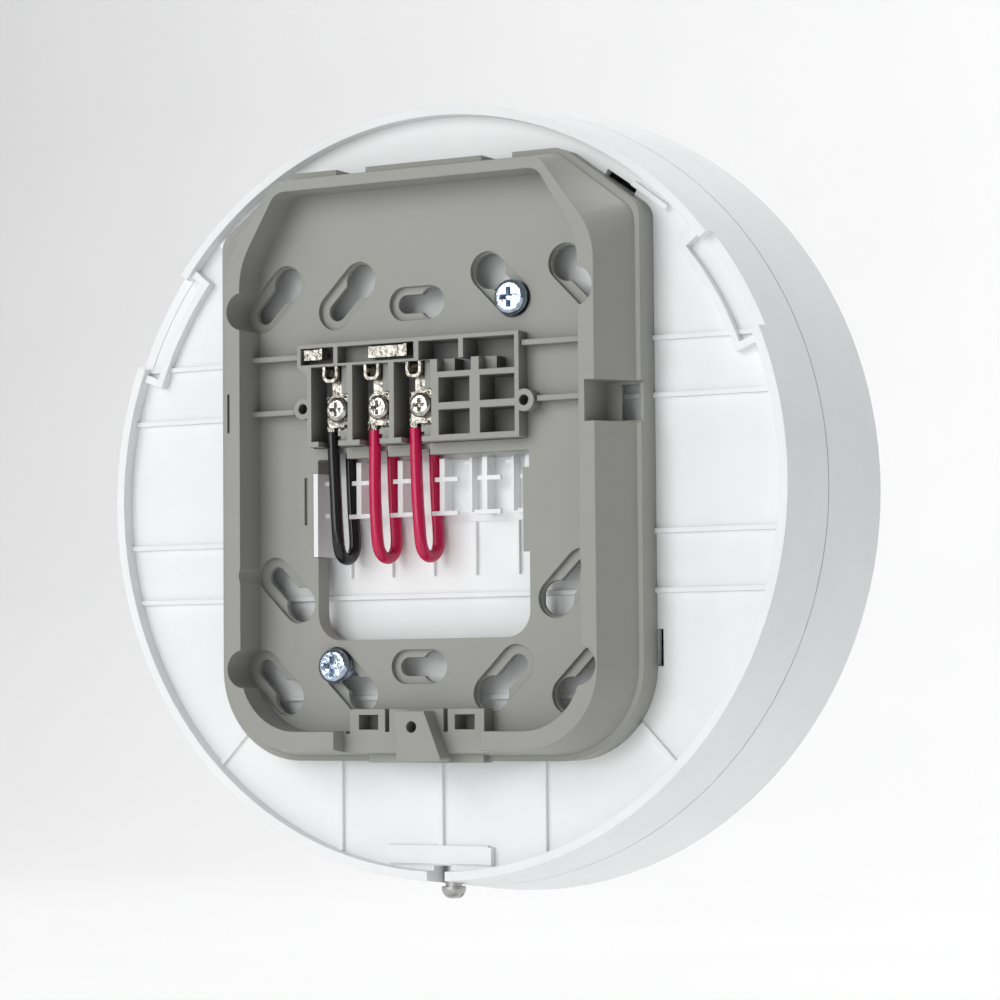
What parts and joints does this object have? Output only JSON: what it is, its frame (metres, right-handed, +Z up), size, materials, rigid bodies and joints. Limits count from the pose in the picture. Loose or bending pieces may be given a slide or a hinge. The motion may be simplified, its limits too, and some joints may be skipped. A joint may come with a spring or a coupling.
{
  "type": "heat detector",
  "caption": "Round white ceiling or wall heat detector seen from its wiring side, with a grey mounting plate, screw terminals and looped leads.",
  "frame": {"origin": "where the round case's axis meets the plane of the wall, on the mounting plate's rear face", "axes": "+Y out of the wall along the case's axis, +Z up the wall, +X to the right of someone facing the wiring side"},
  "size_m": [0.1834, 0.066, 0.1835],
  "materials": {
    "case_white": "fine satin, light grain",
    "plate_grey": "satin, moulded",
    "contact_nickel": "bright nickel plate",
    "screw_zinc": "bright zinc plate",
    "screw_nickel": "bright nickel plate",
    "lead_black": "glossy insulation",
    "lead_red": "glossy insulation",
    "board_green": "solder mask",
    "relay_black": "moulded",
    "capacitor_can": "satin can",
    "chip_black": "matt moulding",
    "pin_brass": "tinned",
    "thermistor_glass": "glass bead",
    "led_red": "clear tinted",
    "light_pipe_clear": "clear, frosted tip"
  },
  "bodies": {
    "case": {"board_screws": "screw_zinc", "capacitor": "capacitor_can", "circuit_board": "board_green", "contact_strip_1": "contact_nickel", "contact_strip_2": "contact_nickel", "contact_strip_3": "contact_nickel", "controller_chip": "chip_black", "front_cover": "case_white", "header_pins": "pin_brass", "indicator_led": "led_red", "lead_black": "lead_black", "lead_comb": "case_white", "lead_header": "case_white", "lead_red_left": "lead_red", "lead_red_right": "lead_red", "light_pipe": "light_pipe_clear", "mounting_plate": "plate_grey", "rear_housing": "case_white", "relay": "relay_black", "sensor_guard": "case_white", "sensor_holder": "case_white", "shorting_bar_left": "contact_nickel", "shorting_bar_right": "contact_nickel", "terminal_block": "plate_grey", "thermistor": "thermistor_glass"},
    "wire_clamp_1": {"wire_clamp_1": "contact_nickel"},
    "terminal_screw_1": {"terminal_screw_1": "screw_nickel"},
    "wire_clamp_2": {"wire_clamp_2": "contact_nickel"},
    "terminal_screw_2": {"terminal_screw_2": "screw_nickel"},
    "wire_clamp_3": {"wire_clamp_3": "contact_nickel"},
    "terminal_screw_3": {"terminal_screw_3": "screw_nickel"},
    "plate_washer_upper": {"plate_washer_upper": "screw_zinc"},
    "plate_screw_upper": {"plate_screw_upper": "screw_zinc"},
    "plate_washer_lower": {"plate_washer_lower": "screw_zinc"},
    "plate_screw_lower": {"plate_screw_lower": "screw_zinc"},
    "lock_screw_clip": {"lock_screw_clip": "screw_zinc"},
    "locking_screw": {"locking_screw": "screw_zinc"}
  },
  "joints": [
    {"name": "terminal_1_lift", "type": "slide", "parent": "case", "child": "wire_clamp_1", "axis": [0, -1, 0], "range_m": [0, 0.00238]},
    {"name": "terminal_1_turn", "type": "hinge", "parent": "wire_clamp_1", "child": "terminal_screw_1", "pos_m": [-0.0206, 0.0063, 0.0189], "axis": [0, -1, 0], "range_deg": [0, 1080]},
    {"name": "terminal_2_lift", "type": "slide", "parent": "case", "child": "wire_clamp_2", "axis": [0, -1, 0], "range_m": [0, 0.00238]},
    {"name": "terminal_2_turn", "type": "hinge", "parent": "wire_clamp_2", "child": "terminal_screw_2", "pos_m": [-0.0096, 0.0063, 0.0189], "axis": [0, -1, 0], "range_deg": [0, 1080]},
    {"name": "terminal_3_lift", "type": "slide", "parent": "case", "child": "wire_clamp_3", "axis": [0, -1, 0], "range_m": [0, 0.00238]},
    {"name": "terminal_3_turn", "type": "hinge", "parent": "wire_clamp_3", "child": "terminal_screw_3", "pos_m": [0.0014, 0.0063, 0.0189], "axis": [0, -1, 0], "range_deg": [0, 1080]},
    {"name": "plate_screw_upper_lift", "type": "slide", "parent": "case", "child": "plate_washer_upper", "axis": [0, -1, 0], "range_m": [0, 0.00238]},
    {"name": "plate_screw_upper_turn", "type": "hinge", "parent": "plate_washer_upper", "child": "plate_screw_upper", "pos_m": [0.0233, 0.00885, 0.04195], "axis": [0, -1, 0], "range_deg": [0, 1080]},
    {"name": "plate_screw_lower_lift", "type": "slide", "parent": "case", "child": "plate_washer_lower", "axis": [0, -1, 0], "range_m": [0, 0.00238]},
    {"name": "plate_screw_lower_turn", "type": "hinge", "parent": "plate_washer_lower", "child": "plate_screw_lower", "pos_m": [-0.0233, 0.00885, -0.03915], "axis": [0, -1, 0], "range_deg": [0, 1080]},
    {"name": "locking_screw_lift", "type": "slide", "parent": "case", "child": "lock_screw_clip", "axis": [0, 0, -1], "range_m": [0, 0.0035]},
    {"name": "locking_screw_turn", "type": "hinge", "parent": "lock_screw_clip", "child": "locking_screw", "pos_m": [0, 0.0206, -0.0891], "axis": [0, 0, -1], "range_deg": [0, 1800]}
  ],
  "couplings": [
    {"joint": "terminal_1_turn", "follows": "terminal_1_lift", "rad_per_m": 7915.8},
    {"joint": "terminal_2_turn", "follows": "terminal_2_lift", "rad_per_m": 7915.8},
    {"joint": "terminal_3_turn", "follows": "terminal_3_lift", "rad_per_m": 7915.8},
    {"joint": "plate_screw_upper_turn", "follows": "plate_screw_upper_lift", "rad_per_m": 7915.8},
    {"joint": "plate_screw_lower_turn", "follows": "plate_screw_lower_lift", "rad_per_m": 7915.8},
    {"joint": "locking_screw_turn", "follows": "locking_screw_lift", "rad_per_m": 8976}
  ]
}
